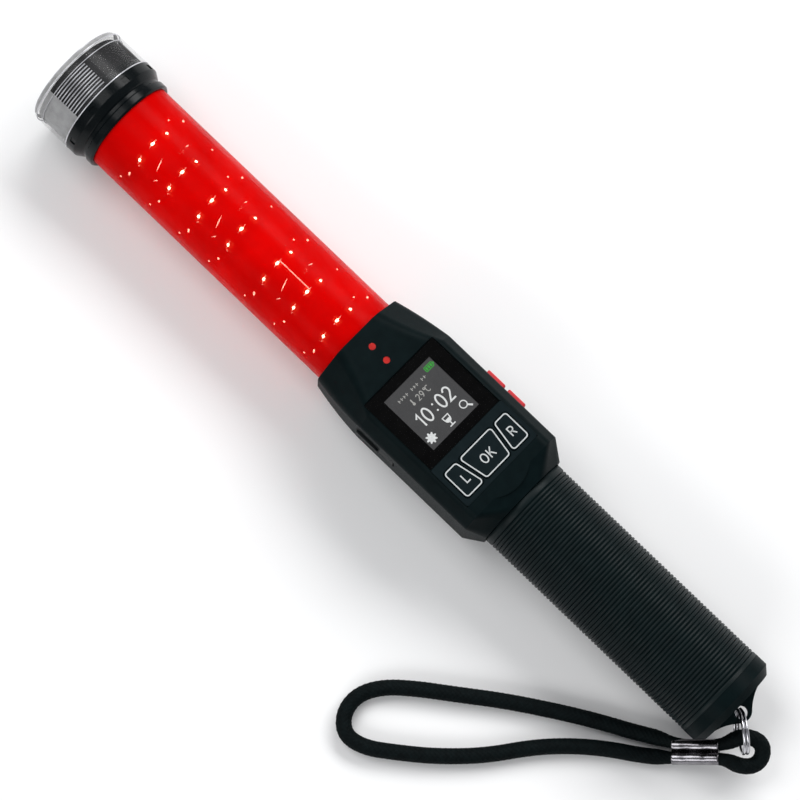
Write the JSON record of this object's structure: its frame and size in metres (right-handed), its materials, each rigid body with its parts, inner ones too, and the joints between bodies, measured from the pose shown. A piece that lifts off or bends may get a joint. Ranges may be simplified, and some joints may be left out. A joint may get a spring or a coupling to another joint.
{
  "type": "traffic baton light",
  "caption": "Hand-held traffic baton with a red light tube, clear lens cap, display and key head, ribbed grip and wrist lanyard.",
  "frame": {"origin": "below the middle of the baton's length, on the surface it lies on", "axes": "+X along the baton to the lens, +Z out of the display, +Y to the charging port's side"},
  "size_m": [0.3964, 0.1457, 0.0481],
  "materials": {
    "clear_lens": "clear moulded polycarbonate",
    "reflector_black": "smoky black insert",
    "red_tube": "translucent red polycarbonate",
    "housing_black": "fine textured black ABS",
    "collar_black": "satin black ABS",
    "window_glass": "black gloss window",
    "display": "lit colour display",
    "keypad": "black keypad with white outlines",
    "button_red": "red silicone rubber",
    "indicator_red": "red lens",
    "rubber_black": "soft black rubber",
    "grip_rubber": "ribbed grip rubber",
    "seal_rubber": "seal",
    "circuit_board": "solder mask",
    "component_black": "moulded component",
    "led_white": "lamp package",
    "spine_white": "white moulded spine",
    "core_plastic": "grey black plastic",
    "battery_wrap": "printed film",
    "contact_metal": "nickel plated",
    "screw_steel": "zinc plated",
    "ring_chrome": "polished",
    "ferrule_metal": "dark chrome",
    "cord_black": "braided black cord"
  },
  "bodies": {
    "baton": {"lens_cap": "clear_lens", "tip_reflector": "reflector_black", "tip_board": "circuit_board", "tip_leds": "led_white", "tip_collar": "collar_black", "collar_seal": "seal_rubber", "light_tube": "red_tube", "tube_seal": "seal_rubber", "led_spine": "spine_white", "led_boards": "circuit_board", "tube_leds": "led_white", "front_shell": "housing_black", "rear_shell": "housing_black", "housing_screws": "screw_steel", "screen_window": "window_glass", "display_module": "display", "keypad_panel": "keypad", "main_board": "circuit_board", "dome_switches": "contact_metal", "indicator_lenses": "indicator_red", "breath_sensor": "contact_metal", "buzzer": "component_black", "side_switches": "component_black", "side_board": "circuit_board", "charge_socket": "contact_metal", "handle_core": "core_plastic", "grip_sleeve": "grip_rubber", "battery_cell": "battery_wrap", "battery_holder": "core_plastic", "contact_plate": "contact_metal", "contact_spring": "contact_metal", "end_cap": "housing_black", "end_cap_seal": "seal_rubber"},
    "key_left": {"key_left": "keypad"},
    "key_ok": {"key_ok": "keypad"},
    "key_right": {"key_right": "keypad"},
    "side_button_front": {"side_button_front": "button_red"},
    "side_button_rear": {"side_button_rear": "button_red"},
    "port_cover": {"port_cover": "rubber_black"},
    "lanyard": {"split_ring": "ring_chrome", "crimp_ferrule": "ferrule_metal", "lanyard_cord": "cord_black"}
  },
  "joints": [
    {"name": "key_left_press", "type": "slide", "parent": "baton", "child": "key_left", "axis": [0, 0, -1], "range_m": [0, 0.0006], "stiffness_N_per_m": 2500},
    {"name": "key_ok_press", "type": "slide", "parent": "baton", "child": "key_ok", "axis": [0, 0, -1], "range_m": [0, 0.0006], "stiffness_N_per_m": 2500},
    {"name": "key_right_press", "type": "slide", "parent": "baton", "child": "key_right", "axis": [0, 0, -1], "range_m": [0, 0.0006], "stiffness_N_per_m": 2500},
    {"name": "side_button_front_press", "type": "slide", "parent": "baton", "child": "side_button_front", "axis": [0, 1, 0], "range_m": [0, 0.0008], "stiffness_N_per_m": 2500},
    {"name": "side_button_rear_press", "type": "slide", "parent": "baton", "child": "side_button_rear", "axis": [0, 1, 0], "range_m": [0, 0.0008], "stiffness_N_per_m": 2500},
    {"name": "port_cover_swing", "type": "hinge", "parent": "baton", "child": "port_cover", "pos_m": [-0.0167, 0.0251, 0.02875], "axis": [0, 0, 1], "range_deg": [0, 110]},
    {"name": "lanyard_swing", "type": "hinge", "parent": "baton", "child": "lanyard", "pos_m": [-0.185, 0, 0.02375], "axis": [0, 0, 1], "range_deg": [0, 90]}
  ]
}
